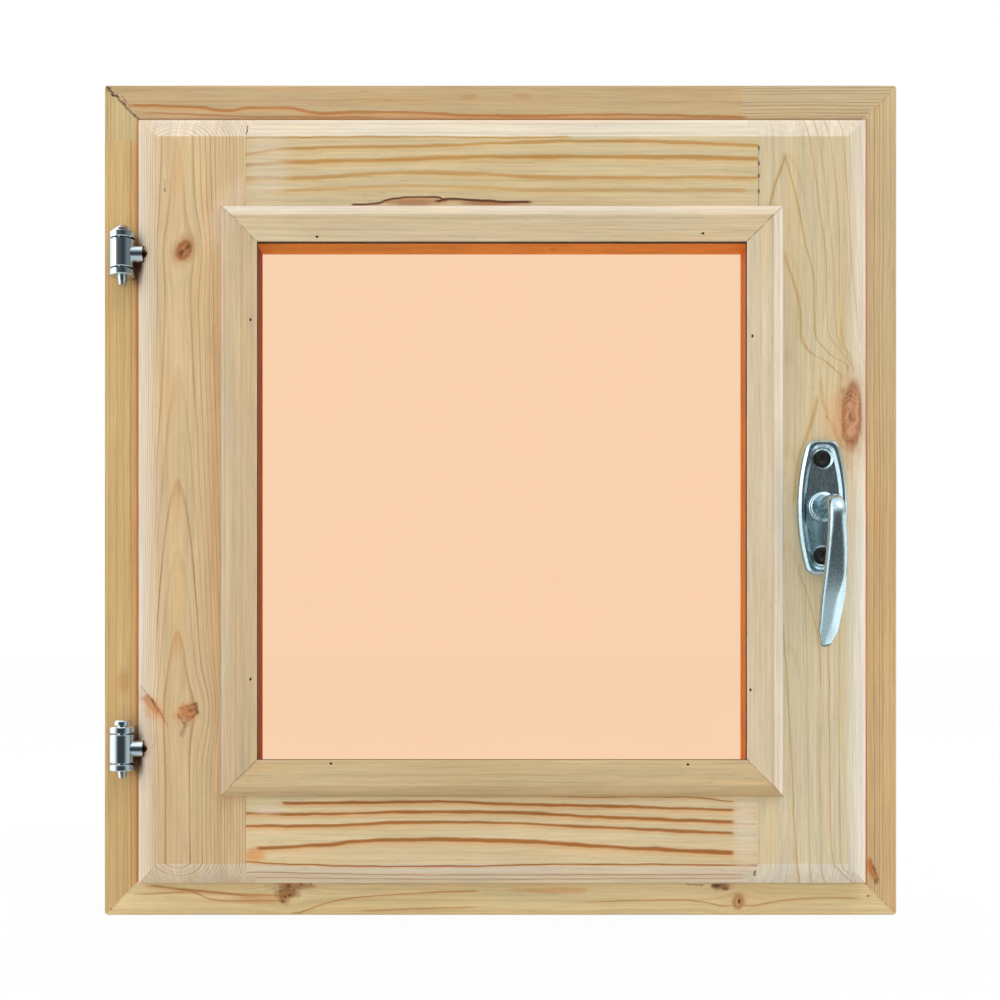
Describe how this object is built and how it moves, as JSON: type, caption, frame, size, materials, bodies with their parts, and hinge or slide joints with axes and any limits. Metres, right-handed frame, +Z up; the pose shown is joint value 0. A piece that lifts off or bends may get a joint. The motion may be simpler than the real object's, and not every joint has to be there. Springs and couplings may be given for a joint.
{
  "type": "small pine casement window with tinted glass",
  "caption": "Small square softwood casement window with a tinted pane in a lipped sash, hung on barrel hinges and closed by a turn handle.",
  "frame": {"origin": "middle of the sill's underside, at the middle of the frame's depth", "axes": "+Z up, -Y towards the room side that shows the handle, +X towards the handle's stile"},
  "size_m": [0.502, 0.1293, 0.526],
  "materials": {
    "frame_pine": "planed, unfinished",
    "sash_pine": "planed, unfinished",
    "bead_pine": "planed, unfinished",
    "tinted_glass": "clear bronze tint",
    "zinc_plate": "bright zinc plate",
    "satin_chrome": "satin"
  },
  "bodies": {
    "window": {"frame_left_jamb": "frame_pine", "frame_right_jamb": "frame_pine", "frame_head": "frame_pine", "frame_sill": "frame_pine", "sash_left_stile": "sash_pine", "sash_right_stile": "sash_pine", "sash_top_rail": "sash_pine", "sash_bottom_rail": "sash_pine", "glazing_bead_left": "bead_pine", "glazing_bead_right": "bead_pine", "glazing_bead_top": "bead_pine", "glazing_bead_bottom": "bead_pine", "glass_pane": "tinted_glass", "upper_hinge_fork": "zinc_plate", "upper_hinge_barrel": "zinc_plate", "upper_hinge_pin": "zinc_plate", "lower_hinge_fork": "zinc_plate", "lower_hinge_barrel": "zinc_plate", "lower_hinge_pin": "zinc_plate", "handle_plate": "satin_chrome"},
    "handle": {"handle_lever": "satin_chrome"}
  },
  "joints": [
    {"name": "handle_turn", "type": "hinge", "parent": "window", "child": "handle", "pos_m": [0.1991, -0.0554, 0.2563], "axis": [0, 1, 0], "range_deg": [0, 90]}
  ]
}
